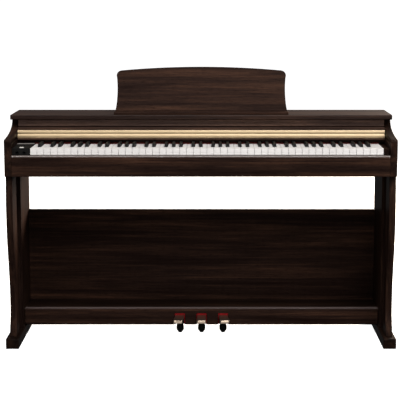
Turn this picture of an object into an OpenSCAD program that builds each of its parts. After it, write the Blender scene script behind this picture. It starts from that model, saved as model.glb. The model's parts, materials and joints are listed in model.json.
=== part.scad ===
// Digital piano on a stand: a cabinet with 88 keys and a sliding cover, on two
// curved legs with long feet, a back panel and a box of three pedals.
// X runs to the player's right, Y away from the player, Z up, in millimetres.
// Inside place() Y counts from the arms' front face, so the origin is under the middle.

/* [Cabinet] */
// Width over the arms
cabinet_w = 1362; // [1350:2:1380]
// Depth from the arms' front face to the back of the feet
depth = 390; // [384:2:420]
// Height of the top board's upper face
top_z = 816; // [812:1:830]
// Thickness of the top board
top_t = 17; // [14:1:18]
// Thickness of the arms and of the legs
side_t = 24; // [22:1:25]
// Height of the key bed's underside
bed_z = 615; // [610:1:618]

/* [Keyboard] */
// Distance from one white key to the next
key_pitch = 23.65; // [23.2:0.05:23.65]
// Height of the white keys' upper faces
key_z = 711; // [709:0.5:711]
// Gap between neighbouring white keys
key_gap = 1; // [0.8:0.1:1.2]
// Width of a black key
black_w = 11; // [10:0.5:12]

/* [Key cover] */
// Slope of the cover's path, falling towards the player
cover_slope = 2.5; // [2:0.1:2.8]
// Thickness of the cover's sliding panel
cover_t = 5; // [4:0.5:5]

/* [Music rest] */
// Width of the music rest's foot
rest_w = 617; // [600:1:620]
// Height of the music rest's board, along its face
rest_h = 161; // [150:1:165]
// How far the music rest leans back, in degrees
rest_lean = 18; // [16:1:20]

/* [Stand] */
// Width of a foot
foot_w = 46; // [44:1:50]
// Height of a foot
foot_h = 36; // [32:1:37]
// Height of the back panel's upper edge
panel_z = 443; // [400:1:460]

/* [Pedals] */
// Distance between the pedals where they leave the box
pedal_pitch = 79.5; // [76:0.5:84]
// How far the outer pedals turn outwards, in degrees
pedal_fan = 3.5; // [2:0.5:4]
// Width of a pedal's tip
pedal_w = 34; // [32:1:36]

/* [Hidden] */
$fn = 48;

// Colours
rosewood = [0.16, 0.10, 0.08];
black = [0.06, 0.06, 0.06];
charcoal = [0.15, 0.14, 0.13];
champagne = [0.76, 0.66, 0.51];
ivory = [0.88, 0.87, 0.85];
felt_red = [0.55, 0.03, 0.06];
steel = [0.62, 0.62, 0.64];
board_green = [0.08, 0.32, 0.18];

// Cabinet
arm_x = cabinet_w / 2;
in_x = arm_x - side_t;
top_front = 157;
top_back = 378;
under_top = top_z - top_t;
bed_t = 18;
bed_top = bed_z + bed_t;
slip_y = 3;
slip_t = 18;
back_t = 10;
back_y = top_back - back_t;
arm_nose = 8;
arm_nose_z = top_z - 72;

// Keyboard
white_count = 52;
first_single = 23;
last_single = 29;
keys_w = white_count * key_pitch;
keys_x = -594;
key_front = 25;
key_back = 254;
key_h = 14;
key_lip = 22;
head_end = 74;
black_front = 75;
black_back = 170;
black_rise = 11.5;
black_slit = 1.2;
hinge_rail_y = 257;
strip_h = 2.2;

// Control blocks beside the keys
block_front = 27;
block_back = 172;
block_z = 712;
block_wall = 3;
ridge_y = 146;
ridge_h = 2.5;
block_right = keys_x - 2.5;
slider_x = -624;
slider_y = 38;
slider_slot = [42, 5];
jack_x = [-639, -614.5];
jack_z = 697;
jack_bore_r = 3.25;
jack_depth = 20.5;
button_y = 120;
button_r = 5;

// Key cover
cover_y = 154;
lip_z = 728;
lip_h = 6;
cover_top = 771;
cover_len = 185;
cover_web_y = 158;
cover_back = 166;
cover_clear = 0.5;
groove_d = 4;
groove_h = 10;
groove_y = 12;
groove_drop = 30;
guide_r = 4;
guide_y = 162;
rib_h = 14.2;
rib_r = 9;

// Music rest, with its pivot along the middle of its foot
rest_t = 10;
rest_y = 206;
rest_z = top_z + 12;
rest_arch_r = 3118;
rest_pin_r = 2;
rest_hinge_x = 200;
rest_hinge_w = 16;
rest_skin = 1;
hinge_r = 3.6;
ledge_x = 312;
running_gap = 0.05;
stay_x = 150;
stay_up = 60;
stay_out = rest_t / 2 + 3.5;
stay_len = 75;
stay_pin_r = 1.5;
stay_w = 8;
stay_tip_gap = 2.1;
stay_pivot_z = rest_z + stay_up * cos(rest_lean) - stay_out * sin(rest_lean);
stay_fall = asin((stay_pivot_z - top_z - stay_tip_gap) / stay_len);

// Stand
stand_in_x = 650;
foot_mid_x = 668;
leg_back = 103;
side_back = 385;
side_front = 160;
side_board_t = 26;
web_t = 12;
panel_y = 355;
panel_t = 15;

// Pedal box
box_y = 193;
box_z = 39;
box_top = 98;
box_board_t = 15;
base_t = 12;
slot_w = 36;
slot_top = 81;
felt_t = 3.6;
felt_side_t = 1.4;
axle_y = 263;
axle_z = 70;
axle_r = 4;
hub_r = 8;
pedal_tip_y = 108;
pedal_t = 12;
pedal_neck_w = 31;
pedal_mid_x = pedal_pitch - (axle_y - box_y - box_board_t / 2) * tan(pedal_fan);
adjuster_y = 237;
adjuster_r = 14;
adjuster_tip_r = 8;
adjuster_low = 6;
adjuster_top = 33;
stud_r = 4;
stud_gap = 0.08;

// Electronics
speaker_x = 420;
speaker_y = 320;
speaker_r = 42;
cone_r = 36;
inlet_x = -300;
inlet_z = 692;
inlet_r = 2.8;
socket_gap_left = 20;
socket_gap_right = 80;
pit = 0.01;

// ---------- helpers ----------

// Moves the arms' front plane to where the origin is in the middle of the depth
module place() {
    translate([0, -depth / 2, 0]) children();
}

// A block between two corners
module block(low, high) {
    translate(low) cube(high - low);
}

// An outline in the Y-Z plane, extruded along X between x0 and x1
module slab_x(x0, x1) {
    translate([x0, 0, 0]) rotate([90, 0, 90]) linear_extrude(x1 - x0) children();
}

// A cylinder along X
module rod_x(x0, x1, y, z, r) {
    translate([x0, y, z]) rotate([0, 90, 0]) cylinder(h = x1 - x0, r = r);
}

// A cylinder along Y
module rod_y(x, z, y0, y1, r) {
    translate([x, y0, z]) rotate([-90, 0, 0]) cylinder(h = y1 - y0, r = r);
}

// The left half of a symmetric pair is the right one mirrored
module left() {
    mirror([1, 0, 0]) children();
}

// Points of a cubic curve from a towards d, without d itself
function curve(a, b, c, d, steps = 8) =
    [for (i = [0 : steps - 1]) let (t = i / steps, s = 1 - t)
        s * s * s * a + 3 * s * s * t * b + 3 * s * t * t * c + t * t * t * d];

// ---------- cabinet ----------

function arm_outline() = concat(
    [[0, bed_z]],
    curve([0, arm_nose_z - arm_nose], [0, arm_nose_z - 3], [3, arm_nose_z], [arm_nose, arm_nose_z], 4),
    curve([arm_nose, arm_nose_z], [95, arm_nose_z + 6], [207, arm_nose_z + 18], [206, under_top], 16),
    [[206, under_top], [top_back, under_top], [top_back, bed_z]]);

// The groove that a guide pin of the key cover runs in, on the cover's slope
module groove() {
    on_slope() translate([groove_y - cover_back, -groove_drop - groove_h / 2])
        square([cover_len + cover_back - groove_y - 20, groove_h]);
}

module arm_right() {
    color(rosewood) place() difference() {
        slab_x(in_x, arm_x) polygon(arm_outline());
        slab_x(in_x - 1, in_x + groove_d) groove();
    }
}

module arm_left() {
    left() arm_right();
}

module top_board() {
    edge_r = 4;
    color(rosewood) place() slab_x(-arm_x, arm_x) union() {
        translate([top_front + edge_r, under_top]) square([top_back - top_front - edge_r, top_t]);
        translate([top_front, under_top + edge_r]) square([edge_r, top_t - 2 * edge_r]);
        translate([top_front + edge_r, under_top + edge_r]) circle(edge_r);
        translate([top_front + edge_r, top_z - edge_r]) circle(edge_r);
    }
}

module key_bed() {
    color(rosewood) place() difference() {
        block([-in_x, slip_y + slip_t, bed_z], [in_x, back_y, bed_top]);
        for (x = [-speaker_x, speaker_x])
            translate([x, speaker_y, bed_z - 1]) cylinder(h = bed_t + 2, r = cone_r);
    }
}

module key_slip() {
    slip_r = 6;
    color(rosewood) place() slab_x(-in_x, in_x) union() {
        translate([slip_y, bed_z]) square([slip_t, 73 - slip_r]);
        translate([slip_y + slip_r, bed_z]) square([slip_t - slip_r, 73]);
        translate([slip_y + slip_r, bed_z + 73 - slip_r]) circle(slip_r);
    }
}

module front_panel() {
    color(rosewood) place() block([-in_x, 191, cover_top + 3], [in_x, 201, under_top]);
}

// Two boards, with a gap between them for the sockets
module cabinet_back() {
    color(black) place() {
        block([-in_x, back_y, bed_z], [inlet_x - socket_gap_left, top_back, under_top]);
        block([inlet_x + socket_gap_right, back_y, bed_z], [in_x, top_back, under_top]);
    }
}

module rear_panel() {
    lap = 10;
    color(charcoal) place() difference() {
        union() {
            block([inlet_x - socket_gap_left - lap, top_back, bed_z],
                  [inlet_x + socket_gap_right + lap, top_back + 3, under_top]);
            rod_y(inlet_x, inlet_z, top_back - 14, top_back + 1, 6);
            block([inlet_x + 25, top_back - 12, inlet_z - 8], [inlet_x + 45, top_back + 1, inlet_z + 8]);
        }
        rod_y(inlet_x, inlet_z, top_back - 11, top_back + 4, inlet_r);
        block([inlet_x + 29, top_back - 8, inlet_z - 6], [inlet_x + 41, top_back + 4, inlet_z + 5]);
    }
}

module name_rail() {
    color(rosewood) place() block([-in_x, 174, key_z + 1 + strip_h], [in_x, 190, lip_z - 1]);
}

module felt_strip() {
    color(felt_red) place()
        block([-in_x, 173, key_z + 1], [keys_x + keys_w + 1, 181, key_z + 1 + strip_h]);
}

// ---------- control blocks ----------

module control_block() {
    color(black) place() difference() {
        union() {
            block([-in_x, block_front, bed_top], [block_right, block_back, block_z]);
            block([-in_x, ridge_y, block_z - 1], [block_right, block_back, block_z + ridge_h]);
        }
        block([-in_x + block_wall, block_front + block_wall, bed_top - 1],
              [block_right - block_wall, block_back - block_wall, block_z - block_wall]);
        for (x = jack_x) rod_y(x, jack_z, block_front - 1, block_front + block_wall + 1, 5.5);
        translate([slider_x - slider_slot.x / 2, slider_y - slider_slot.y / 2, block_z - 5])
            cube([slider_slot.x, slider_slot.y, 6]);
        translate([slider_x, button_y, block_z - 5]) cylinder(h = 6, r = button_r + 0.4);
    }
}

module cheek_block() {
    x0 = keys_x + keys_w + 1.5;
    color(rosewood) place() block([x0, block_front, bed_top], [in_x, block_back, key_z - 1]);
}

module headphone_jacks() {
    jack_front = block_front - 1;
    color(charcoal) place() for (x = jack_x) difference() {
        union() {
            rod_y(x, jack_z, jack_front, block_front + block_wall + 0.1, 5.4);
            rod_y(x, jack_z, block_front + block_wall, jack_front + jack_depth + 4, 7);
        }
        rod_y(x, jack_z, jack_front - 1, jack_front + jack_depth, jack_bore_r);
    }
}

module volume_slider() {
    cap = [15, 10, 3];
    stem = [4, 4, 7];
    color(champagne) place() union() {
        translate([slider_x - cap.x / 2, slider_y - cap.y / 2, block_z + 0.4]) cube(cap);
        translate([slider_x - stem.x / 2, slider_y - stem.y / 2, block_z + 0.4 - stem.z + pit]) cube(stem);
    }
}

module power_button() {
    color(charcoal) place() translate([slider_x, button_y, 0]) union() {
        translate([0, 0, block_z - 8]) cylinder(h = 10, r = button_r);
        translate([0, 0, block_z - 8]) cylinder(h = 3, r = button_r + 1.5);
    }
}

// ---------- keys ----------

// Where a white key stands in its octave, counted from A
function note(w) = w % 7;

// Whether a black key follows white key w
function has_black(w) =
    w >= 0 && w < white_count - 1 && (note(w) != 1 && note(w) != 4);

// How far that black key stands off the line between its white keys
function black_shift(w) = [2.2, 0, -1.6, 1.6, 0, -2.2, 0][note(w)];

function edge_x(w) = keys_x + w * key_pitch;

function black_x(w) = edge_x(w + 1) + black_shift(w);

function tail_low(w) =
    has_black(w - 1) ? black_x(w - 1) + black_w / 2 + black_slit : edge_x(w) + key_gap / 2;

function tail_high(w) =
    has_black(w) ? black_x(w) - black_w / 2 - black_slit : edge_x(w + 1) - key_gap / 2;

module white_key(w) {
    x0 = edge_x(w) + key_gap / 2;
    x1 = edge_x(w + 1) - key_gap / 2;
    color(ivory) place() union() {
        translate([0, 0, key_z - key_h]) linear_extrude(key_h) union() {
            translate([x0, key_front]) square([x1 - x0, head_end - key_front]);
            translate([tail_low(w), head_end - 1])
                square([tail_high(w) - tail_low(w), key_back - head_end + 1]);
        }
        block([x0, key_front, key_z - key_lip], [x1, key_front + 3, key_z - key_h + 1]);
    }
}

// A black key: a cap with a sloping front on a long stick
module black_key(w) {
    x = black_x(w);
    color(charcoal) place() slab_x(x - black_w / 2, x + black_w / 2) polygon([
        [black_front, key_z - key_h],
        [black_front, key_z],
        [black_front + 5, key_z + black_rise],
        [black_back, key_z + black_rise],
        [black_back, key_z - 2],
        [key_back, key_z - 2],
        [key_back, key_z - key_h]
    ]);
}

module key_c4() { white_key(first_single); }
module key_d4() { white_key(first_single + 1); }
module key_e4() { white_key(first_single + 2); }
module key_f4() { white_key(first_single + 3); }
module key_g4() { white_key(first_single + 4); }
module key_a4() { white_key(first_single + 5); }
module key_b4() { white_key(last_single); }
module key_c_sharp4() { black_key(first_single); }
module key_d_sharp4() { black_key(first_single + 1); }
module key_f_sharp4() { black_key(first_single + 3); }
module key_g_sharp4() { black_key(first_single + 4); }
module key_a_sharp4() { black_key(first_single + 5); }

module white_keys() {
    for (w = [0 : white_count - 1])
        if (w < first_single || w > last_single) white_key(w);
}

module black_keys() {
    for (w = [0 : white_count - 2])
        if (has_black(w) && (w < first_single || w >= last_single)) black_key(w);
}

module keyboard_frame() {
    color(steel) place() union() {
        block([keys_x, 40, bed_top], [keys_x + keys_w, 270, bed_top + 4]);
        block([keys_x, 40, bed_top + 3], [keys_x + keys_w, 52, key_z - key_h - 14]);
        block([keys_x, hinge_rail_y, bed_top + 3], [keys_x + keys_w, 270, key_z - 6]);
    }
}

module hammer_set() {
    hammer = [8, 120, 12];
    weight = [10, 26, 20];
    color(steel) place() for (w = [0 : white_count - 1]) {
        x = edge_x(w) + key_pitch / 4;
        translate([x - hammer.x / 2, 90, bed_top + 5]) cube(hammer);
        translate([x - weight.x / 2, 210, bed_top + 5]) cube(weight);
        if (has_black(w)) {
            translate([x + key_pitch / 2 - hammer.x / 2, 90, bed_top + 5]) cube(hammer);
            translate([x + key_pitch / 2 - weight.x / 2, 210, bed_top + 5]) cube(weight);
        }
    }
}

// ---------- electronics ----------

module main_board() {
    board_z = bed_top + 8;
    color(board_green) place() union() {
        block([-120, 285, board_z], [120, 355, board_z + 1.6]);
        for (x = [-112, 112], y = [292, 348])
            translate([x, y, bed_top]) cylinder(h = 9, r = 3);
        block([-30, 300, board_z + 1], [10, 330, board_z + 5]);
        block([45, 305, board_z + 1], [65, 325, board_z + 4]);
        for (x = [-100 : 12 : -52])
            translate([x, 335, board_z + 1]) cylinder(h = 12, r = 4);
    }
}

module speakers() {
    color(charcoal) place() for (x = [-speaker_x, speaker_x])
        translate([x, speaker_y, bed_top]) rotate_extrude() polygon([
            [0, 14], [10, 14], [cone_r - 2, 3], [cone_r - 2, 0], [speaker_r, 0],
            [speaker_r, 4], [24, 24], [24, 38], [0, 38]
        ]);
}

module speaker_grilles() {
    bar = 3;
    color(black) place() for (x = [-speaker_x, speaker_x])
        translate([x, speaker_y, bed_z - 1.5]) difference() {
            cylinder(h = 1.5, r = speaker_r - 2);
            for (i = [-4 : 4])
                translate([-25 + abs(i) * 2, i * 2 * bar - bar / 2, -1]) cube([50 - abs(i) * 4, bar, 4]);
        }
}

// ---------- key cover ----------

// An outline in the Y-Z plane, turned to the cover's slope about its front edge
module on_slope() {
    translate([cover_back, cover_top - cover_t]) rotate(cover_slope) children();
}

module key_cover() {
    x = in_x - 2.2;
    color(rosewood) place() slab_x(-x, x) union() {
        translate([cover_y, lip_z]) square([cover_back - cover_y, lip_h]);
        translate([cover_web_y, lip_z]) square([cover_back - cover_web_y, cover_top - lip_z]);
        translate([cover_y, cover_top - 8]) square([cover_back - cover_y, 8]);
        on_slope() translate([-3, 0]) square([cover_len + 3, cover_t]);
    }
    guide_z = cover_top - cover_t - groove_drop - (cover_back - guide_y) * tan(cover_slope);
    color(rosewood) place() for (side = [-1, 1]) {
        x0 = side > 0 ? x - 2 : -in_x - groove_d + 1;
        rod_x(x0, x0 + groove_d + 3.2, guide_y, guide_z, guide_r);
    }
}

module cover_handle() {
    x = in_x - 2;
    low = lip_z + lip_h;
    color(champagne) place() slab_x(-x, x) union() {
        translate([cover_web_y - 2.5, low]) square([2.5, cover_top - 8 - low]);
        for (i = [0, 1]) intersection() {
            translate([cover_web_y + 4.3, low + rib_h * (i + 0.5) + 0.3]) circle(rib_r, $fn = 96);
            translate([cover_web_y - 8, low + rib_h * i + 0.6]) square([8, rib_h - 0.6]);
        }
    }
}

module cover_rails() {
    rail_w = 7;
    color(steel) place() for (side = [-1, 1]) {
        x0 = side > 0 ? in_x - rail_w : -in_x;
        slab_x(x0, x0 + rail_w) on_slope() translate([6, -5 - cover_clear]) square([180, 5]);
        slab_x(x0, x0 + rail_w) on_slope() translate([40, cover_t + cover_clear]) square([146, 5]);
    }
}

// ---------- music rest ----------

module music_ledge() {
    edge_r = 4;
    color(rosewood) place() slab_x(-ledge_x, ledge_x) union() {
        translate([170, top_z]) square([28, 10 - edge_r]);
        translate([170 + edge_r, top_z]) square([28 - edge_r, 10]);
        translate([170 + edge_r, top_z + 10 - edge_r]) circle(edge_r);
    }
}

// Half of the music rest's face, from the foot up and over the arched top
function rest_half() =
    let (foot = rest_w / 2, head = foot - 3, corner = 18, arch = rest_h - rest_arch_r,
         shoulder = arch + sqrt(rest_arch_r * rest_arch_r - head * head))
    concat(
        curve([foot, 0], [foot - 9, 40], [foot - 8, 105], [head, shoulder - corner], 12),
        curve([head, shoulder - corner], [head, shoulder - 7], [head - 7, shoulder],
              [head - corner, shoulder + 1.6], 6),
        [for (i = [0 : 12]) let (x = (head - corner) * (1 - i / 12))
            [x, arch + sqrt(rest_arch_r * rest_arch_r - x * x)]]);

module rest_frame() {
    place() translate([0, rest_y, rest_z]) rotate([-rest_lean, 0, 0]) children();
}

module stay_ear(x) {
    difference() {
        translate([x - 1, rest_t / 2 - 1, stay_up - 4]) cube([2, 7, 8]);
        rod_x(x - 2, x + 2, stay_out, stay_up, stay_pin_r);
    }
}

module music_rest() {
    half = rest_half();
    notch = rest_hinge_w / 2 + 0.5;
    color(rosewood) rest_frame() union() {
        difference() {
            union() {
                rotate([90, 0, 0]) translate([0, 0, -rest_t / 2]) linear_extrude(rest_t) union() {
                    polygon(concat([[0, 0]], half));
                    mirror([1, 0]) polygon(concat([[0, 0]], half));
                }
                rod_x(-rest_w / 2, rest_w / 2, 0, 0, rest_t / 2);
            }
            for (x = [-rest_hinge_x, rest_hinge_x]) {
                block([x - notch, rest_skin - rest_t / 2, -8], [x + notch, 8, 7]);
                rod_x(x - notch - 11, x + notch + 11, 0, 0, rest_pin_r + running_gap);
            }
        }
        for (x = [-stay_x, stay_x]) {
            stay_ear(x - stay_w / 2 - 1.5);
            stay_ear(x + stay_w / 2 + 1.5);
            rod_x(x - stay_w / 2 - 2.5, x + stay_w / 2 + 2.5, stay_out, stay_up, stay_pin_r);
        }
    }
}

module rest_hinges() {
    reach = rest_hinge_w / 2 + 0.5 + 10;
    color(steel) place() for (x = [-rest_hinge_x, rest_hinge_x]) union() {
        block([x - rest_hinge_w / 2, rest_y - hinge_r, top_z],
              [x + rest_hinge_w / 2, rest_y + hinge_r, rest_z]);
        rod_x(x - rest_hinge_w / 2, x + rest_hinge_w / 2, rest_y, rest_z, hinge_r);
        rod_x(x - reach, x + reach, rest_y, rest_z, rest_pin_r);
    }
}

module rest_stays() {
    color(steel) rest_frame() translate([0, stay_out, stay_up])
        rotate([rest_lean - stay_fall, 0, 0])
            for (x = [-stay_x, stay_x]) difference() {
                union() {
                    block([x - stay_w / 2, 0, -1.5], [x + stay_w / 2, stay_len, 1.5]);
                    rod_x(x - stay_w / 2, x + stay_w / 2, 0, 0, 3);
                    rod_x(x - stay_w / 2, x + stay_w / 2, stay_len, 0, 1.5);
                }
                rod_x(x - stay_w, x + stay_w, 0, 0, stay_pin_r + running_gap);
            }
}

// ---------- stand ----------

function leg_outline() = concat(
    curve([23, bed_z], [9, 540], [8, 440], [27, 352], 12),
    curve([27, 352], [42, 285], [62, 215], [59.5, 128], 12),
    curve([59.5, 128], [58.5, 100], [38, 64], [33, foot_h], 8),
    [[33, foot_h], [leg_back, foot_h], [leg_back, bed_z]]);

module leg_right() {
    color(rosewood) place() slab_x(in_x, arm_x) polygon(leg_outline());
}

module leg_left() {
    left() leg_right();
}

module side_board_right() {
    color(rosewood) place() union() {
        block([stand_in_x, side_front, foot_h], [stand_in_x + side_board_t, side_back, bed_z]);
        block([stand_in_x + side_board_t - web_t, leg_back, foot_h],
              [stand_in_x + side_board_t, side_front, bed_z]);
    }
}

module side_board_left() {
    left() side_board_right();
}

module foot_right() {
    bevel = 3;
    color(rosewood) place() slab_x(foot_mid_x - foot_w / 2, foot_mid_x + foot_w / 2) polygon([
        [0, 0], [0, foot_h - bevel], [bevel, foot_h], [depth - bevel, foot_h],
        [depth, foot_h - bevel], [depth, 0]
    ]);
}

module foot_left() {
    left() foot_right();
}

module back_panel() {
    color(rosewood) place() block([-stand_in_x, panel_y, box_z], [stand_in_x, panel_y + panel_t, panel_z]);
}

// ---------- pedals ----------

module pedal_front() {
    color(rosewood) place() difference() {
        block([-stand_in_x, box_y, box_z], [stand_in_x, box_y + box_board_t, box_top]);
        for (i = [-1 : 1]) translate([i * pedal_pitch - slot_w / 2, box_y - 1, box_z - 1])
            cube([slot_w, box_board_t + 2, slot_top - box_z + 1]);
    }
}

module pedal_top() {
    color(rosewood) place()
        block([-stand_in_x, box_y + box_board_t, box_top - box_board_t], [stand_in_x, panel_y, box_top]);
}

module pedal_base() {
    post = 6;
    color(black) place() difference() {
        union() {
            block([-150, box_y + box_board_t, box_z], [150, panel_y, box_z + base_t]);
            for (x = [-116, -pedal_pitch / 2 - 2, pedal_pitch / 2 + 2, 116])
                block([x - post / 2, axle_y - 9, box_z + base_t - 1], [x + post / 2, axle_y + 9, axle_z + 9]);
        }
        rod_x(-120, 120, axle_y, axle_z, axle_r + running_gap);
        for (i = [-1 : 1]) translate([i * pedal_pitch, adjuster_y, box_z - 1])
            cylinder(h = base_t + 2, r = stud_r + stud_gap);
    }
}

module pedal_axle() {
    color(steel) place() rod_x(-124, 124, axle_y, axle_z, axle_r);
}

module pedal_felts() {
    color(felt_red) place() for (i = [-1 : 1]) difference() {
        translate([i * pedal_pitch - slot_w / 2, box_y + 1, box_z + 1])
            cube([slot_w, box_board_t - 2, slot_top - box_z - 1]);
        translate([i * pedal_pitch - slot_w / 2 + felt_side_t, box_y, box_z])
            cube([slot_w - 2 * felt_side_t, box_board_t, slot_top - box_z - felt_t]);
    }
}

// A pedal: a wide rounded tip on a narrower neck, with a bore across for the axle
module pedal(side) {
    reach = axle_y - pedal_tip_y;
    tip = -reach;
    neck = pedal_neck_w / 2;
    wide = pedal_w / 2;
    half = concat(
        [[0, tip]],
        curve([wide - 6, tip], [wide - 2, tip], [wide, tip + 2], [wide, tip + 8], 8),
        curve([wide, tip + 8], [wide, tip + 30], [neck, tip + 45], [neck, tip + 70], 8),
        [[neck, tip + 70], [0, tip + 70]]);
    low = axle_z - pedal_t / 2;
    color(champagne) place() translate([side * pedal_mid_x, axle_y, 0]) difference() {
        union() {
            rotate([0, 0, side * pedal_fan]) translate([0, 0, low]) linear_extrude(pedal_t) union() {
                translate([-neck, tip + 70]) square([pedal_neck_w, reach - 45]);
                polygon(half);
                mirror([1, 0]) polygon(half);
            }
            rod_x(-neck, neck, 0, axle_z, hub_r);
        }
        rod_x(-40, 40, 0, axle_z, axle_r + running_gap);
    }
}

module pedal_left() { pedal(-1); }
module pedal_middle() { pedal(0); }
module pedal_right() { pedal(1); }

// A knob that winds down to the floor, with a scalloped rim and a narrower tip
module adjuster(i) {
    scallops = 12;
    high = adjuster_top - adjuster_low;
    slope = 5;
    color(black) place() translate([i * pedal_pitch, adjuster_y, 0]) union() {
        cylinder(h = adjuster_low + 1, r = adjuster_tip_r);
        translate([0, 0, adjuster_low]) difference() {
            rotate_extrude() polygon([
                [0, 0], [adjuster_r - slope, 0], [adjuster_r, slope], [adjuster_r, high - slope],
                [adjuster_r - slope, high], [0, high]
            ]);
            for (a = [0 : scallops - 1]) rotate([0, 0, a * 360 / scallops])
                translate([adjuster_r + 1, 0, -1]) cylinder(h = high + 2, r = 2.2);
        }
        cylinder(h = box_z + base_t - 2, r = stud_r);
    }
}

module adjuster_left() { adjuster(-1); }
module adjuster_middle() { adjuster(0); }
module adjuster_right() { adjuster(1); }

// ---------- fasteners ----------

module screw_head(x, y, z) {
    color(steel) place() translate([x, y, z]) rotate([-90, 0, 0]) difference() {
        cylinder(h = 2.4, r = 4.5);
        translate([0, 0, 1]) cylinder(h = 2, r = 2, $fn = 6);
    }
}

module screws() {
    for (x = [-600 : 200 : 600]) {
        screw_head(x, top_back, bed_z + 9);
        screw_head(x, top_back, under_top - 9);
    }
    for (x = [-620, -200, 200, 620]) screw_head(x, panel_y + panel_t, box_top - 8);
    for (x = [-620, 620]) screw_head(x, panel_y + panel_t, panel_z - 15);
}

top_board();
arm_left();
arm_right();
key_bed();
key_slip();
front_panel();
cabinet_back();
name_rail();
felt_strip();
control_block();
cheek_block();
headphone_jacks();
volume_slider();
power_button();
keyboard_frame();
hammer_set();
main_board();
speakers();
speaker_grilles();
rear_panel();
key_cover();
cover_handle();
cover_rails();
music_ledge();
music_rest();
rest_hinges();
rest_stays();
key_c4();
key_d4();
key_e4();
key_f4();
key_g4();
key_a4();
key_b4();
key_c_sharp4();
key_d_sharp4();
key_f_sharp4();
key_g_sharp4();
key_a_sharp4();
white_keys();
black_keys();
leg_left();
leg_right();
side_board_left();
side_board_right();
foot_left();
foot_right();
back_panel();
pedal_front();
pedal_top();
pedal_base();
pedal_left();
pedal_middle();
pedal_right();
pedal_felts();
pedal_axle();
adjuster_left();
adjuster_middle();
adjuster_right();
screws();
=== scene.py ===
import json
import math

import bmesh
import bpy
from mathutils import Matrix, Vector


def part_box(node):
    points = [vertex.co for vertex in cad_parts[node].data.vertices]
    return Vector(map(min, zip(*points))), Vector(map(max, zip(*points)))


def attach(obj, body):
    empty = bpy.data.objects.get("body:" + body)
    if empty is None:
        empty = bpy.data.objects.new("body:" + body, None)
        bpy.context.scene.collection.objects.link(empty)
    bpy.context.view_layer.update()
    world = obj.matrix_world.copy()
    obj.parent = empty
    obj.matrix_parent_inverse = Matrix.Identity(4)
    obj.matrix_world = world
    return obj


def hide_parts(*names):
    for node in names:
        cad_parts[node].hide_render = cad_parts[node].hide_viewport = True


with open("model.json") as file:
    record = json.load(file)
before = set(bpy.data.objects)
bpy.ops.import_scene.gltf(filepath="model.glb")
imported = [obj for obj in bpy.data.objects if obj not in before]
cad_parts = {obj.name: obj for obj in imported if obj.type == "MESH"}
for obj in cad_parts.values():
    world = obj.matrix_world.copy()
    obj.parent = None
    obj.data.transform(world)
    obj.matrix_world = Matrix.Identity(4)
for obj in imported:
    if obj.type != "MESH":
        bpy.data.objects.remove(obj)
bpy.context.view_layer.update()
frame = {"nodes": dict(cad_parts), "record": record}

# ---------- camera ----------

MM = 0.001
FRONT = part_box("arm_right")[0].y
CAMERA_LENS = 117.9
CAMERA_SENSOR = 36
CAMERA_SHIFT = -0.03
CAMERA_SIDE = 0.0386
CAMERA_AWAY = 4.5
CAMERA_HEIGHT = 1.239
CAMERA_TILT = math.radians(81.1)


def aim(lamp, target):
    """Turns a light so that it shines at a target."""
    lamp.rotation_euler = (Vector(target) - lamp.location).to_track_quat("-Z", "Y").to_euler()


def add_camera():
    data = bpy.data.cameras.new("camera")
    data.lens = CAMERA_LENS
    data.sensor_width = CAMERA_SENSOR
    data.shift_x = CAMERA_SHIFT
    camera = bpy.data.objects.new("camera", data)
    camera.location = (CAMERA_SIDE, FRONT - CAMERA_AWAY, CAMERA_HEIGHT)
    camera.rotation_euler = (CAMERA_TILT, 0, 0)
    bpy.context.scene.collection.objects.link(camera)
    bpy.context.scene.camera = camera


add_camera()

# ---------- materials ----------


def tone(red, green, blue):
    """A colour given as everyday 0 to 255 values, made linear, with alpha."""
    parts = [v / 255 for v in (red, green, blue)]
    return tuple(v / 12.92 if v <= 0.04045 else ((v + 0.055) / 1.055) ** 2.4 for v in parts) + (1,)


class Wire:
    """One output of a node. Arithmetic on it adds Math nodes."""

    def __init__(self, shader, socket):
        self.shader = shader
        self.socket = socket

    def math(self, operation, a, b):
        return self.shader.node("ShaderNodeMath", {"operation": operation}, {0: a, 1: b})

    def __add__(self, other):
        return self.math("ADD", self, other)

    def __sub__(self, other):
        return self.math("SUBTRACT", self, other)

    def __mul__(self, other):
        return self.math("MULTIPLY", self, other)


# Width of a mask's soft edge, in metres
MASK_BLEND = 0.002

# Where a painted highlight begins, in metres: a pale band on the key slip's top, on the front edge
# of the pedal box's top and on the ridge behind the control block, painted for the light they catch
SLIP_HIGHLIGHT_FROM = 0.683
BOX_HIGHLIGHT_TO = 0.034
RIDGE_HIGHLIGHT_FROM = 0.7124


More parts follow.
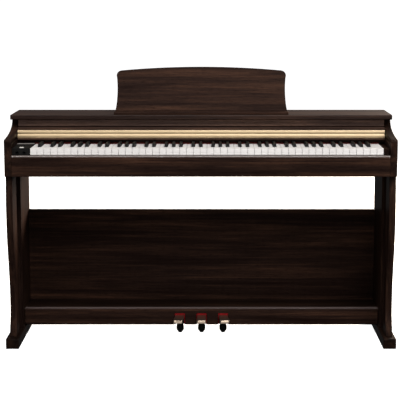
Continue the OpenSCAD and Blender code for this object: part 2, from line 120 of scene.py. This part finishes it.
class Shader:
    """A material with one Principled shader."""

    def __init__(self, name, **fixed):
        self.material = bpy.data.materials.new(name)
        self.material.use_nodes = True
        self.tree = self.material.node_tree
        self.surface = self.tree.nodes["Principled BSDF"]
        for socket, value in fixed.items():
            self.surface.inputs[socket.replace("_", " ")].default_value = value

    def node(self, kind, settings=None, inputs=None, out=0):
        made = self.tree.nodes.new(kind)
        for key, value in (settings or {}).items():
            if key == "stops":
                self.set_stops(made.color_ramp, value)
            else:
                setattr(made, key, value)
        for key, value in (inputs or {}).items():
            self.feed(made.inputs[key], value)
        return Wire(self, made.outputs[out])

    def set_stops(self, ramp, stops):
        while len(ramp.elements) < len(stops):
            ramp.elements.new(0.5)
        for element, (place, colour) in zip(ramp.elements, stops):
            element.position = place
            element.color = colour

    def feed(self, socket, value):
        if isinstance(value, Wire):
            self.tree.links.new(value.socket, socket)
        else:
            socket.default_value = value

    def drive(self, **inputs):
        """Links wires to the Principled shader's sockets."""
        for socket, value in inputs.items():
            self.feed(self.surface.inputs[socket.replace("_", " ")], value)

    def place(self, scale, shift=(0, 0, 0)):
        """Object coordinates, scaled per axis and shifted."""
        where = self.node("ShaderNodeTexCoord", out="Object")
        return self.node("ShaderNodeMapping", None,
                         {"Vector": where, "Location": shift, "Scale": scale})

    def noise(self, vector, detail=4.0, rough=0.5, bend=0.0):
        return self.node("ShaderNodeTexNoise", None, {
            "Vector": vector, "Scale": 1.0, "Detail": detail, "Roughness": rough, "Distortion": bend})

    def ramp(self, factor, stops):
        return self.node("ShaderNodeValToRGB", {"stops": stops}, {"Fac": factor})

    def mix(self, factor, a, b, how="MIX"):
        settings = {"data_type": "RGBA", "blend_type": how}
        return self.node("ShaderNodeMix", settings, {0: factor, 6: a, 7: b}, out=2)

    def past(self, axis, level, way=1):
        """A mask that is 1 past a level in metres along an axis, above it or, with way -1, below it."""
        reach = self.node("ShaderNodeSeparateXYZ", None, {0: self.place((1, 1, 1))}, out="xyz".index(axis))
        return self.node("ShaderNodeClamp", None, {"Value": (reach - level) * (way / MASK_BLEND)})

    def bump(self, height, strength, distance):
        return self.node("ShaderNodeBump", None,
                         {"Height": height, "Strength": strength, "Distance": distance})


# Rosewood from its darkest streaks to its lightest, each with its place on the ramp
ROSEWOOD = ((0.36, (22, 12, 9)), (0.47, (31, 20, 16)), (0.56, (44, 29, 22)), (0.67, (66, 44, 33)))


def along(axis, grain, cross):
    """A scale that is low along the grain's axis and high across it."""
    return tuple(grain if name == axis else cross for name in "xyz")


def wood(name, axis, light=1.0, pale=0, rough=0.42, gloss=0.1, painted_highlight=None, shift=(0, 0, 0)):
    """Dark rosewood: broad streaks, finer figure and short pores along one axis.

    An axis, a level, a way and a colour may be given for a painted highlight. Past that level the
    colour is painted paler, and a thin coat makes the finish really shinier there too.
    """
    s = Shader(name, Specular_IOR_Level=gloss, Coat_Roughness=0.12)
    broad = s.noise(s.place(along(axis, 1.3, 34), shift), detail=6, rough=0.64, bend=0.5)
    figure = s.noise(s.place(along(axis, 7, 170), shift), detail=4, rough=0.6, bend=0.4)
    pores = s.noise(s.place(along(axis, 45, 900), shift), detail=2, rough=0.5)
    stops = [(place, tone(*(v * light + pale for v in shade))) for place, shade in ROSEWOOD]
    dark = s.ramp(pores, [(0.34, (0.5, 0.46, 0.44, 1)), (0.46, (1, 1, 1, 1))])
    colour = s.mix(1.0, s.ramp(broad * 0.72 + figure * 0.28, stops), dark, "MULTIPLY")
    # Past the level the colour is painted paler: a painted highlight; the coat is real shine
    if painted_highlight:
        *where, shade = painted_highlight
        highlight_mask = s.past(*where)
        colour = s.mix(highlight_mask * 0.7, colour, shade)
        s.drive(Coat_Weight=highlight_mask * 0.4)
    s.drive(Base_Color=colour,
            Roughness=figure * 0.16 + (rough - 0.08),
            Normal=s.bump(pores, 0.12, 0.0004))
    return s.material


def plastic(name, colour, rough, grain=900, depth=0.15, highlight_from=None, **fixed):
    """Moulded plastic with a fine grain, slight changes of shade and perhaps a pale ridge: a painted
    highlight.
    """
    s = Shader(name, **fixed)
    cloud = s.noise(s.place((9, 9, 9)), detail=3)
    skin = s.noise(s.place((grain, grain, grain)), detail=2)
    lighter = tuple(min(1, v * 1.2 + 0.004) for v in colour[:3]) + (1,)
    shade = s.mix(cloud, colour, lighter)
    # A pale colour above a height: a painted highlight on the ridge
    if highlight_from:
        shade = s.mix(s.past("z", highlight_from), shade, tone(112, 106, 102))
    s.drive(Base_Color=shade,
            Roughness=cloud * 0.08 + (rough - 0.04),
            Normal=s.bump(skin, depth, 0.0002))
    return s.material


def metal(name, colour, rough, axis="x", brush=0.1, metallic=1.0, **fixed):
    """Metal with fine brush lines along one axis."""
    s = Shader(name, Metallic=metallic, **fixed)
    lines = s.noise(s.place(along(axis, 8, 1600)), detail=3)
    cloud = s.noise(s.place((2, 6, 6)), detail=2)
    darker = tuple(v * 0.93 for v in colour[:3]) + (1,)
    s.drive(Base_Color=s.mix(cloud, darker, colour),
            Roughness=lines * 0.06 + (rough - 0.03),
            Normal=s.bump(lines, brush, 0.0002))
    return s.material


def felt(name, colour):
    s = Shader(name, Roughness=0.95, Sheen_Weight=0.1, Specular_IOR_Level=0.1)
    fibre = s.noise(s.place((1500, 1500, 1500)), detail=4, rough=0.7)
    cloud = s.noise(s.place((60, 60, 60)), detail=3)
    dark = tuple(v * 0.55 for v in colour[:3]) + (1,)
    s.drive(Base_Color=s.mix(cloud * 0.5 + fibre * 0.5, dark, colour),
            Normal=s.bump(fibre, 0.6, 0.0006))
    return s.material


# Copies of the one rosewood. Their light and pale values make some parts lighter and others darker for how
# much light each gets: painted light and shade.
wood_long = wood("rosewood_lengthways", "x", light=0.84, gloss=0.02)
wood_arm = wood("rosewood_arm", "y", light=0.84, gloss=0.02, shift=(8.4, 6, 2))
wood_top = wood("rosewood_top", "x", light=1.1, rough=0.44, gloss=0.1, shift=(3, 1, 0))
wood_rest = wood("rosewood_rest", "x", light=1.04, rough=0.55, gloss=0.02, shift=(7, 2, 5))
# Much lighter and greyer: painted light in the shade of the top board's overhang
wood_strip = wood("rosewood_strip", "x", light=1.9, pale=44, rough=0.5, gloss=0.03, shift=(2, 8, 3))
wood_cover = wood("rosewood_cover", "x", light=1.1, pale=10, gloss=0.03, shift=(9, 3, 3))
# The key slip's top edge and the front of the pedal box's top get a painted highlight: a paler band
wood_slip = wood("rosewood_slip", "x", light=0.96, gloss=0.02,
                 painted_highlight=("z", SLIP_HIGHLIGHT_FROM, 1, tone(112, 103, 99)), shift=(2, 6, 1))
wood_box = wood("rosewood_box", "x", light=0.8, gloss=0.02,
                painted_highlight=("y", BOX_HIGHLIGHT_TO, -1, tone(96, 84, 82)), shift=(6, 1, 7))
wood_panel = wood("rosewood_panel", "x", light=1.0, gloss=0.02, shift=(5, 5, 2))
wood_side = wood("rosewood_upright", "z", light=0.92, gloss=0.015, shift=(1, 4, 3))
wood_depth = wood("rosewood_foot", "y", light=0.66, gloss=0.015, shift=(4, 4, 4))
black_board = plastic("black_board", tone(20, 17, 15), 0.6, Specular_IOR_Level=0.05)
# The ridge behind the control block gets a painted highlight
black_plastic = plastic("black_plastic", tone(13, 12, 11), 0.6, highlight_from=RIDGE_HIGHLIGHT_FROM,
                        Specular_IOR_Level=0.05)
knob_plastic = plastic("knob_plastic", tone(12, 12, 11), 0.5, Specular_IOR_Level=0.05)
panel_plastic = plastic("panel_plastic", tone(12, 12, 12), 0.5, Specular_IOR_Level=0.1)
socket_plastic = plastic("socket_plastic", tone(3, 3, 3), 0.5, Specular_IOR_Level=0.02)
speaker_cone = plastic("speaker_cone", tone(34, 33, 32), 0.7, grain=500, depth=0.3)
ivory = plastic("key_ivory", tone(203, 199, 196), 0.3, grain=300, depth=0.02, Coat_Weight=0.1)
ebony = plastic("key_ebony", tone(13, 12, 11), 0.55, grain=700, depth=0.05, Specular_IOR_Level=0.08)
red_felt = felt("red_felt", tone(130, 2, 8))
champagne = metal("champagne_bar", tone(184, 160, 124), 0.48, brush=0.01, metallic=0.24)
cap_metal = metal("slider_cap", tone(225, 222, 216), 0.4, metallic=0.3)
pedal_metal = metal("pedal_metal", tone(196, 176, 156), 0.3, axis="y", brush=0.01)
steel = metal("plain_steel", tone(170, 170, 172), 0.36)
dark_steel = metal("blackened_steel", tone(42, 38, 36), 0.5)
# Near black: partly painted shade of the socket holes
nut_steel = metal("socket_nut", tone(8, 8, 8), 0.45, axis="z", metallic=0.3, Specular_IOR_Level=0.1)
circuit = plastic("circuit_green", tone(24, 90, 52), 0.4)

# ---------- building ----------


# Faces that meet at less than this angle are shaded as one smooth surface
SMOOTH_UNDER = math.radians(32)


def piece(name, bm, body, material, replaces=()):
    """Turns a bmesh into a finished piece that rides on a body."""
    bmesh.ops.remove_doubles(bm, verts=bm.verts, dist=1e-6)
    bmesh.ops.recalc_face_normals(bm, faces=bm.faces)
    mesh = bpy.data.meshes.new(name)
    bm.to_mesh(mesh)
    bm.free()
    mesh.shade_smooth()
    mesh.set_sharp_from_angle(angle=SMOOTH_UNDER)
    made = bpy.data.objects.new(name, mesh)
    made.data.materials.append(material)
    bpy.context.scene.collection.objects.link(made)
    weighted = made.modifiers.new("weighted_normals", "WEIGHTED_NORMAL")
    weighted.keep_sharp = True
    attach(made, body)
    if replaces:
        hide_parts(*replaces)


def block(bm, low, high):
    """Adds a box between two corners."""
    size = Matrix.Diagonal((*(high - low), 1))
    bmesh.ops.create_cube(bm, size=1, matrix=Matrix.Translation((low + high) / 2) @ size)


def add(bm, other):
    """Adds one bmesh's faces to another, and frees it."""
    mesh = bpy.data.meshes.new("part")
    other.to_mesh(mesh)
    other.free()
    bm.from_mesh(mesh)
    bpy.data.meshes.remove(mesh)


def prism(bm, outline, push):
    """Adds a solid: a flat outline of points, pushed along a vector."""
    face = bm.faces.new([bm.verts.new(p) for p in outline])
    grown = bmesh.ops.extrude_face_region(bm, geom=[face])["geom"]
    verts = [g for g in grown if isinstance(g, bmesh.types.BMVert)]
    bmesh.ops.translate(bm, vec=Vector(push), verts=verts)


def round_edges(bm, radius, segments=3, least=30, keep=None):
    """Rounds every edge that turns by more than an angle."""
    bmesh.ops.recalc_face_normals(bm, faces=bm.faces)
    sharp = [e for e in bm.edges
             if len(e.link_faces) == 2 and e.calc_face_angle(0) > math.radians(least)
             and (keep is None or keep(e))]
    bmesh.ops.bevel(bm, geom=sharp, offset=radius, segments=segments, profile=0.5,
                    affect="EDGES", material=-1, clamp_overlap=True)


def spun(bm, profile, centre, steps, axis=(0, 0, 1)):
    """Adds a closed turned solid. The profile holds points in the plane of the axis."""
    verts = [bm.verts.new(p) for p in profile]
    edges = [bm.edges.new(pair) for pair in zip(verts, verts[1:])]
    bmesh.ops.spin(bm, geom=verts + edges, cent=Vector(centre), axis=Vector(axis),
                   angle=2 * math.pi, steps=steps, use_merge=True)
    bmesh.ops.remove_doubles(bm, verts=bm.verts, dist=1e-7)


def rod(bm, start, end, radius):
    """Adds a closed round rod between two points."""
    run = end - start
    turn = run.to_track_quat("Z", "Y").to_matrix().to_4x4()
    bmesh.ops.create_cone(bm, cap_ends=True, segments=20, radius1=radius, radius2=radius,
                          depth=run.length, matrix=Matrix.Translation((start + end) / 2) @ turn)


def curve(a, b, c, d, steps):
    """Points of a cubic curve from a towards d, without d itself."""
    a, b, c, d = (Vector(p) for p in (a, b, c, d))
    made = []
    for i in range(steps):
        t = i / steps
        s = 1 - t
        made.append(s ** 3 * a + 3 * s * s * t * b + 3 * s * t * t * c + t ** 3 * d)
    return made


def refined(node, material, radius):
    """Replaces a CAD node by the same shape with rounded edges."""
    bm = bmesh.new()
    bm.from_mesh(frame["nodes"][node].data)
    bmesh.ops.remove_doubles(bm, verts=bm.verts, dist=1e-5)
    bmesh.ops.dissolve_limit(bm, angle_limit=math.radians(0.5), verts=bm.verts, edges=bm.edges)
    round_edges(bm, radius)
    body = next(b for b, names in frame["record"]["behaviour"]["bodies"].items() if node in names)
    piece(node + "_finished", bm, body, material, [node])


def cad_material(material, *nodes):
    """Gives CAD nodes that keep their shape a better material."""
    for node in nodes:
        data = frame["nodes"][node].data
        data.materials.clear()
        data.materials.append(material)


# ---------- boards of the cabinet and stand ----------

# For each finish, the boards that have it, with the radius of their edges in millimetres
EDGES = {
    wood_arm: {"arm_left": 1.6, "arm_right": 1.6, "cheek_block": 1.2},
    wood_long: {"name_rail": 0.8},
    wood_cover: {"key_cover": 0.9},
    wood_box: {"pedal_top": 1.0},
    wood_side: {"leg_left": 2.2, "leg_right": 2.2, "side_board_left": 1.2, "side_board_right": 1.2},
    wood_depth: {"foot_left": 1.5, "foot_right": 1.5},
    wood_top: {"top_board": 1.2},
    wood_strip: {"front_panel": 0.8},
    wood_slip: {"key_slip": 1.0},
    wood_panel: {"key_bed": 1.0, "back_panel": 1.5, "pedal_front": 4},
    wood_rest: {"music_ledge": 1.0},
    black_board: {"cabinet_back": 1.0},
    black_plastic: {"control_block": 0.6, "pedal_base": 0.6},
    red_felt: {"felt_strip": 0.6, "pedal_felts": 0.3},
    panel_plastic: {"rear_panel": 0.4, "power_button": 0.6},
    champagne: {"cover_handle": 0.4},
}
for finish, boards in EDGES.items():
    for node, radius in boards.items():
        refined(node, finish, radius * MM)

cad_material(steel, "cover_rails", "rest_stays", "pedal_axle", "keyboard_frame", "hammer_set")
cad_material(dark_steel, "rest_hinges", "screws")
cad_material(circuit, "main_board")
cad_material(speaker_cone, "speakers", "speaker_grilles")
cad_material(socket_plastic, "headphone_jacks")

# ---------- keys ----------

PITCH = 23.65
KEYS_X = -594
# How far each black key sits from the joint of its white keys, by the white key on its left
NOTE_SHIFT = {0: 2.2, 2: -1.6, 3: 1.6, 5: -2.2, 6: 0}
FIRST_SINGLE = 23
WHITE_COUNT = 52
KEY_FRONT = 25
KEY_BACK = 254
HEAD_END = 74
KEY_Z = 711
KEY_THICK = 14
KEY_SIDE_GAP = 0.5
TAIL_CLEAR = 6.7
LIP_DROP = 22
LIP_THICK = 3
KEY_EDGE = 0.7 * MM
BLACK_FRONT, BLACK_SLOPE_END, BLACK_BACK = 75, 80, 170
BLACK_RISE = 11.5
BLACK_HALF = 5.5
BLACK_TAPER = 0.84
BLACK_EDGE = 1.2 * MM
STICK_DROP = 2
SINGLE_WHITES = ("key_c4", "key_d4", "key_e4", "key_f4", "key_g4", "key_a4", "key_b4")
SINGLE_BLACKS = {0: "key_c_sharp4", 1: "key_d_sharp4", 3: "key_f_sharp4", 4: "key_g_sharp4",
                 5: "key_a_sharp4"}


def spot(x, y, z):
    """A point in metres from millimetres, with y behind the arms' front face."""
    return Vector((x * MM, FRONT + y * MM, z * MM))


def has_black(w):
    return 0 <= w < WHITE_COUNT - 1 and w % 7 in NOTE_SHIFT


def black_x(w):
    return KEYS_X + (w + 1) * PITCH + NOTE_SHIFT[w % 7]


def white_key(bm, w):
    """A white key: a wide head with a front lip, and a tail cut away beside the black keys."""
    left = KEYS_X + w * PITCH + KEY_SIDE_GAP
    right = KEYS_X + (w + 1) * PITCH - KEY_SIDE_GAP
    tail_left = black_x(w - 1) + TAIL_CLEAR if has_black(w - 1) else left
    tail_right = black_x(w) - TAIL_CLEAR if has_black(w) else right
    outline = [(left, KEY_FRONT), (right, KEY_FRONT), (right, HEAD_END)]
    if tail_right < right:
        outline.append((tail_right, HEAD_END))
    outline += [(tail_right, KEY_BACK), (tail_left, KEY_BACK)]
    if tail_left > left:
        outline += [(tail_left, HEAD_END), (left, HEAD_END)]
    prism(bm, [spot(x, y, KEY_Z - KEY_THICK) for x, y in outline], (0, 0, KEY_THICK * MM))
    block(bm, spot(left, KEY_FRONT, KEY_Z - LIP_DROP),
          spot(right, KEY_FRONT + LIP_THICK, KEY_Z - KEY_THICK))


def black_key(bm, w):
    """A black key: a cap that narrows upwards and slopes at the front, on its stick."""
    x = black_x(w)
    outline = [(BLACK_FRONT, KEY_Z - KEY_THICK), (BLACK_FRONT, KEY_Z),
               (BLACK_SLOPE_END, KEY_Z + BLACK_RISE), (BLACK_BACK, KEY_Z + BLACK_RISE),
               (BLACK_BACK, KEY_Z - STICK_DROP), (KEY_BACK, KEY_Z - STICK_DROP),
               (KEY_BACK, KEY_Z - KEY_THICK)]
    prism(bm, [spot(x - BLACK_HALF, y, z) for y, z in outline], (2 * BLACK_HALF * MM, 0, 0))
    for vert in bm.verts:
        if vert.co.z > (KEY_Z + BLACK_RISE / 2) * MM:
            vert.co.x = x * MM + (vert.co.x - x * MM) * BLACK_TAPER


def keys(name, body, maker, indices, material, radius):
    """One piece that holds the keys at some places in the row, all on one body."""
    bm = bmesh.new()
    for w in indices:
        one = bmesh.new()
        maker(one, w)
        round_edges(one, radius, 2)
        add(bm, one)
    piece(name, bm, body, material, [body])


for i, node in enumerate(SINGLE_WHITES):
    keys(node + "_piece", node, white_key, [FIRST_SINGLE + i], ivory, KEY_EDGE)
for i, node in SINGLE_BLACKS.items():
    keys(node + "_piece", node, black_key, [FIRST_SINGLE + i], ebony, BLACK_EDGE)
others = [w for w in range(WHITE_COUNT) if not 0 <= w - FIRST_SINGLE < len(SINGLE_WHITES)]
keys("white_key_row", "white_keys", white_key, others, ivory, KEY_EDGE)
keys("black_key_row", "black_keys", black_key, [w for w in others if has_black(w)], ebony, BLACK_EDGE)

# ---------- music rest ----------

REST_Y, REST_Z = 206, 828
REST_LEAN = math.radians(18)
REST_HALF = 308.5
REST_TOP = 161
REST_THICK = 10
REST_ARCH = 3118
REST_SKIN = 1
REST_SHOULDER = 3
REST_CORNER = 18
HINGE_X, HINGE_NOTCH = 200, 8.5
NOTCH_LOW, NOTCH_TOP = -4.5, 7
SKIN_LOW = -3
STAY_X = 150
STAY_PIN_Z = 60
EAR_SPREAD = 5.5
EAR_THICK = 2
EAR_OUT = 6.5
EAR_TALL = 8


def on_rest(x, y, z):
    """A point given across, out of and up the leaning rest."""
    return spot(x, REST_Y + y * math.cos(REST_LEAN) + z * math.sin(REST_LEAN),
                REST_Z - y * math.sin(REST_LEAN) + z * math.cos(REST_LEAN))


def behind(point, depth=0):
    """Whether a point lies further back in the rest's thickness than a depth."""
    out = on_rest(0, 1, 0) - on_rest(0, 0, 0)
    return (point - on_rest(0, depth - 0.01, 0)).dot(out) > 0


def arch(x):
    return REST_TOP - REST_ARCH + math.sqrt(REST_ARCH ** 2 - x ** 2)


def rest_outline(notched):
    """The rest's face: waisted sides, rounded corners, an arched top and perhaps hinge notches."""
    head = REST_HALF - REST_SHOULDER
    inner = head - REST_CORNER
    top = arch(head)
    half = []
    if notched:
        for x, z in ((-1, NOTCH_LOW), (-1, NOTCH_TOP), (1, NOTCH_TOP), (1, NOTCH_LOW)):
            half.append(Vector((HINGE_X + x * HINGE_NOTCH, z)))
    half.append(Vector((REST_HALF, NOTCH_LOW if notched else SKIN_LOW)))
    half += curve((REST_HALF, 0), (REST_HALF - 9, 40), (REST_HALF - 8, 105), (head, top - REST_CORNER), 14)
    half += curve((head, top - REST_CORNER), (head, top - 7), (head - 7, top), (inner, top + 1.6), 8)
    half += [Vector((x, arch(x))) for x in (inner * (1 - i / 16) for i in range(16))]
    return half + [Vector((0, REST_TOP))] + [Vector((-p.x, p.y)) for p in reversed(half)]


def music_rest():
    """A thin whole face in front of a notched board, with soft edges all round."""
    front, seam, back = -REST_THICK / 2, REST_SKIN - REST_THICK / 2, REST_THICK / 2
    through = on_rest(0, 1, 0) - on_rest(0, 0, 0)
    bm = bmesh.new()
    prism(bm, [on_rest(p.x, seam - 0.02, p.y) for p in rest_outline(True)], through * (back - seam))
    round_edges(bm, 2.4 * MM, 4, least=50, keep=lambda e: all(behind(v.co) for v in e.verts))
    skin = bmesh.new()
    prism(skin, [on_rest(p.x, front, p.y) for p in rest_outline(False)], through * (seam - front))
    round_edges(skin, 0.9 * MM, 3, least=50, keep=lambda e: not any(behind(v.co, seam) for v in e.verts))
    add(bm, skin)
    piece("music_rest_board", bm, "music_rest", wood_rest, ["music_rest"])


def rest_ears():
    """Two small plates and a pin behind the rest for each stay."""
    bm = bmesh.new()
    root, low, pin_y = REST_THICK / 2 - 1, STAY_PIN_Z - EAR_TALL / 2, REST_THICK / 2 + 3.5
    reach = EAR_SPREAD + EAR_THICK / 2
    for x in (-STAY_X, STAY_X):
        for side in (-EAR_SPREAD, EAR_SPREAD):
            face = [(root, low), (root + EAR_OUT, low),
                    (root + EAR_OUT, low + EAR_TALL), (root, low + EAR_TALL)]
            prism(bm, [on_rest(x + side - EAR_THICK / 2, y, z) for y, z in face], (EAR_THICK * MM, 0, 0))
        rod(bm, on_rest(x - reach, pin_y, STAY_PIN_Z), on_rest(x + reach, pin_y, STAY_PIN_Z), 1.5 * MM)
    piece("music_rest_ears", bm, "music_rest", steel)


music_rest()
rest_ears()

# ---------- pedals and their knobs ----------

PEDAL_PITCH = 79.5
PEDAL_FAN = math.radians(3.5)
PEDAL_REACH = 155
PEDAL_THICK = 12
PEDAL_NECK, PEDAL_WIDE = 15.5, 17
AXLE_Y, AXLE_Z = 263, 70
SLOT_Y = 200.5
AXLE_BORE = 4.05
RING_R, RING_HALF, RING_EDGE = 8, 15, 0.8
KNOB_Y = 237
FLUTES = 12
FLUTE_DEPTH = 0.02
FLUTES_FROM = 10 * MM


def pedal(node, side):
    """A rounded pedal that widens towards its tip, and a ring around the axle."""
    tip = -PEDAL_REACH
    half = [Vector((0, tip))]
    half += curve((PEDAL_WIDE - 6, tip), (PEDAL_WIDE - 2, tip), (PEDAL_WIDE, tip + 2),
                  (PEDAL_WIDE, tip + 8), 12)
    half += curve((PEDAL_WIDE, tip + 8), (PEDAL_WIDE, tip + 30), (PEDAL_NECK, tip + 45),
                  (PEDAL_NECK, tip + 70), 8)
    half += [Vector((PEDAL_NECK, tip + 70)), Vector((PEDAL_NECK, -6))]
    whole = half + [Vector((-p.x, p.y)) for p in reversed(half[1:])]
    turn = Matrix.Rotation(side * PEDAL_FAN, 2)
    middle = side * (PEDAL_PITCH - (AXLE_Y - SLOT_Y) * math.tan(PEDAL_FAN))
    turned = [turn @ p for p in whole]
    bm = bmesh.new()
    prism(bm, [spot(middle + p.x, AXLE_Y + p.y, AXLE_Z - PEDAL_THICK / 2) for p in turned],
          (0, 0, PEDAL_THICK * MM))
    round_edges(bm, 2.6 * MM, 5, least=50)
    half_ring = [(RING_HALF, AXLE_BORE), (RING_HALF, RING_R - RING_EDGE), (RING_HALF - RING_EDGE, RING_R)]
    ring = [(-RING_HALF, AXLE_BORE)] + half_ring + [(-x, r) for x, r in reversed(half_ring)]
    spun(bm, [spot(middle + x, AXLE_Y, AXLE_Z + r) for x, r in ring],
         spot(middle, AXLE_Y, AXLE_Z), 40, (1, 0, 0))
    piece(node + "_piece", bm, node, pedal_metal, [node])


def adjuster(node, side):
    """A barrel-shaped knob with shallow flutes, a domed foot and a threaded stud."""
    x = side * PEDAL_PITCH
    centre = spot(x, KNOB_Y, 0)
    bm = bmesh.new()
    barrel = [(0, 6), (9.4, 6), (10.6, 7.6), (12.6, 10), (13.8, 13), (14, 17), (14, 23), (13.6, 27),
              (12.2, 30.5), (10, 32.6), (9, 33), (0, 33)]
    spun(bm, [spot(x + r, KNOB_Y, z) for r, z in barrel], centre, 96)
    for vert in bm.verts:
        arm = Vector((vert.co.x - centre.x, vert.co.y - centre.y))
        if arm.length > FLUTES_FROM:
            flute = 0.5 + 0.5 * math.cos(FLUTES * math.atan2(arm.y, arm.x))
            vert.co.xy = centre.xy + arm * (1 - FLUTE_DEPTH * flute)
    foot = [(0, 0), (4, 0.3), (6.4, 1.4), (7.6, 3.2), (8, 5), (8, 7), (0, 7)]
    spun(bm, [spot(x + r, KNOB_Y, z) for r, z in foot], centre, 40)
    stud = [(0, 32), (4, 32)] + [(4 - 0.35 * (i % 2), 34 + i * 0.75) for i in range(19)] + [(0, 48.9)]
    spun(bm, [spot(x + r, KNOB_Y, z) for r, z in stud], centre, 24)
    piece(node + "_piece", bm, node, knob_plastic, [node])


SIDES = {"left": -1, "middle": 0, "right": 1}
for word, side in SIDES.items():
    pedal("pedal_" + word, side)
    adjuster("adjuster_" + word, side)

# ---------- controls ----------

SLIDER_X, SLIDER_Y, SLIDER_Z = -624, 38, 712.4
SOCKETS_X = (-639, -614.5)
SOCKET_Z = 697


def slider_cap():
    """A flat cap with three grip ridges, on its stem."""
    x, y, z = SLIDER_X, SLIDER_Y, SLIDER_Z
    bm = bmesh.new()
    block(bm, spot(x - 7.5, y - 5, z), spot(x + 7.5, y + 5, z + 2.2))
    for i in (-1, 0, 1):
        block(bm, spot(x - 0.7 + i * 3.5, y - 4.4, z + 2), spot(x + 0.7 + i * 3.5, y + 4.4, z + 3))
    block(bm, spot(x - 2, y - 2, z - 7), spot(x + 2, y + 2, z + 0.01))
    round_edges(bm, 0.3 * MM, 2)
    piece("volume_slider_cap", bm, "volume_slider", cap_metal, ["volume_slider"])


def socket_rings():
    """A near-black ring around the mouth of each headphone socket; its colour is partly painted shade, so
    that ring and bore show as one dark hole.
    """
    bm = bmesh.new()
    ring = [(26.1, 3.4), (25.4, 3.8), (25.4, 5), (26.1, 5.6), (27.1, 5.6), (27.1, 3.4), (26.1, 3.4)]
    for x in SOCKETS_X:
        spun(bm, [spot(x + r, y, SOCKET_Z) for y, r in ring], spot(x, 0, SOCKET_Z), 32, (0, 1, 0))
    piece("headphone_socket_rings", bm, "cabinet", nut_steel)


slider_cap()
socket_rings()

# ---------- floor and light ----------

FLOOR_HALF = 400
FLOOR_GAP = 0.5 * MM
WORLD_LIGHT = 0.12


def add_light(name, where, size, power, look, colour=(1, 1, 1)):
    data = bpy.data.lights.new(name, "AREA")
    data.shape = "RECTANGLE"
    data.size, data.size_y = size
    data.energy = power
    data.color = colour
    lamp = bpy.data.objects.new(name, data)
    lamp.location = where
    lamp.visible_camera = False
    bpy.context.scene.collection.objects.link(lamp)
    aim(lamp, look)


def add_floor():
    """A white floor that glows, so that it meets the backdrop without an edge."""
    bm = bmesh.new()
    bmesh.ops.create_grid(bm, x_segments=1, y_segments=1, size=FLOOR_HALF)
    mesh = bpy.data.meshes.new("floor")
    bm.to_mesh(mesh)
    bm.free()
    floor = bpy.data.objects.new("floor", mesh)
    floor.data.materials.append(Shader("floor_paint", Base_Color=(0.85, 0.85, 0.85, 1), Roughness=0.9,
                                       Specular_IOR_Level=0.1, Emission_Color=(1, 1, 1, 1),
                                       Emission_Strength=1.0).material)
    bpy.context.scene.collection.objects.link(floor)
    floor.location.z = -FLOOR_GAP
    floor.visible_diffuse = False
    floor.visible_glossy = False


def add_world():
    """White to the camera, and a softer, even light for everything else."""
    world = bpy.data.worlds.new("studio")
    world.use_nodes = True
    tree = world.node_tree
    tree.nodes.clear()
    rays = tree.nodes.new("ShaderNodeLightPath")
    seen = tree.nodes.new("ShaderNodeBackground")
    soft = tree.nodes.new("ShaderNodeBackground")
    mix = tree.nodes.new("ShaderNodeMixShader")
    out = tree.nodes.new("ShaderNodeOutputWorld")
    seen.inputs["Color"].default_value = (1, 1, 1, 1)
    soft.inputs["Color"].default_value = (1, 1, 1, 1)
    soft.inputs["Strength"].default_value = WORLD_LIGHT
    tree.links.new(rays.outputs["Is Camera Ray"], mix.inputs["Fac"])
    tree.links.new(soft.outputs[0], mix.inputs[1])
    tree.links.new(seen.outputs[0], mix.inputs[2])
    tree.links.new(mix.outputs[0], out.inputs["Surface"])
    bpy.context.scene.world = world


bpy.context.scene.view_settings.view_transform = "Standard"
add_floor()
add_world()
add_light("key_light", (1.5, -3.0, 3.2), (2.6, 1.2), 115, (0, 0, 0.5))
add_light("front_light", (0.8, -4.4, 1.4), (2.6, 0.7), 25, (0, 0, 0.7))
add_light("fill_light", (-3.0, -3.6, 1.8), (2.4, 2.0), 25, (0, 0, 0.5))
add_light("sheen_light", (3.2, 3.4, 1.5), (3.0, 1.6), 820, (0, 0, 0.8), (1, 0.84, 0.7))
add_light("top_light", (0.2, -1.45, 3.4), (3.0, 0.35), 112, (0, 0, 0.6))
add_light("pedal_bounce", (0, -0.42, 0.004), (0.5, 0.4), 0.6, (0, -0.42, 1))
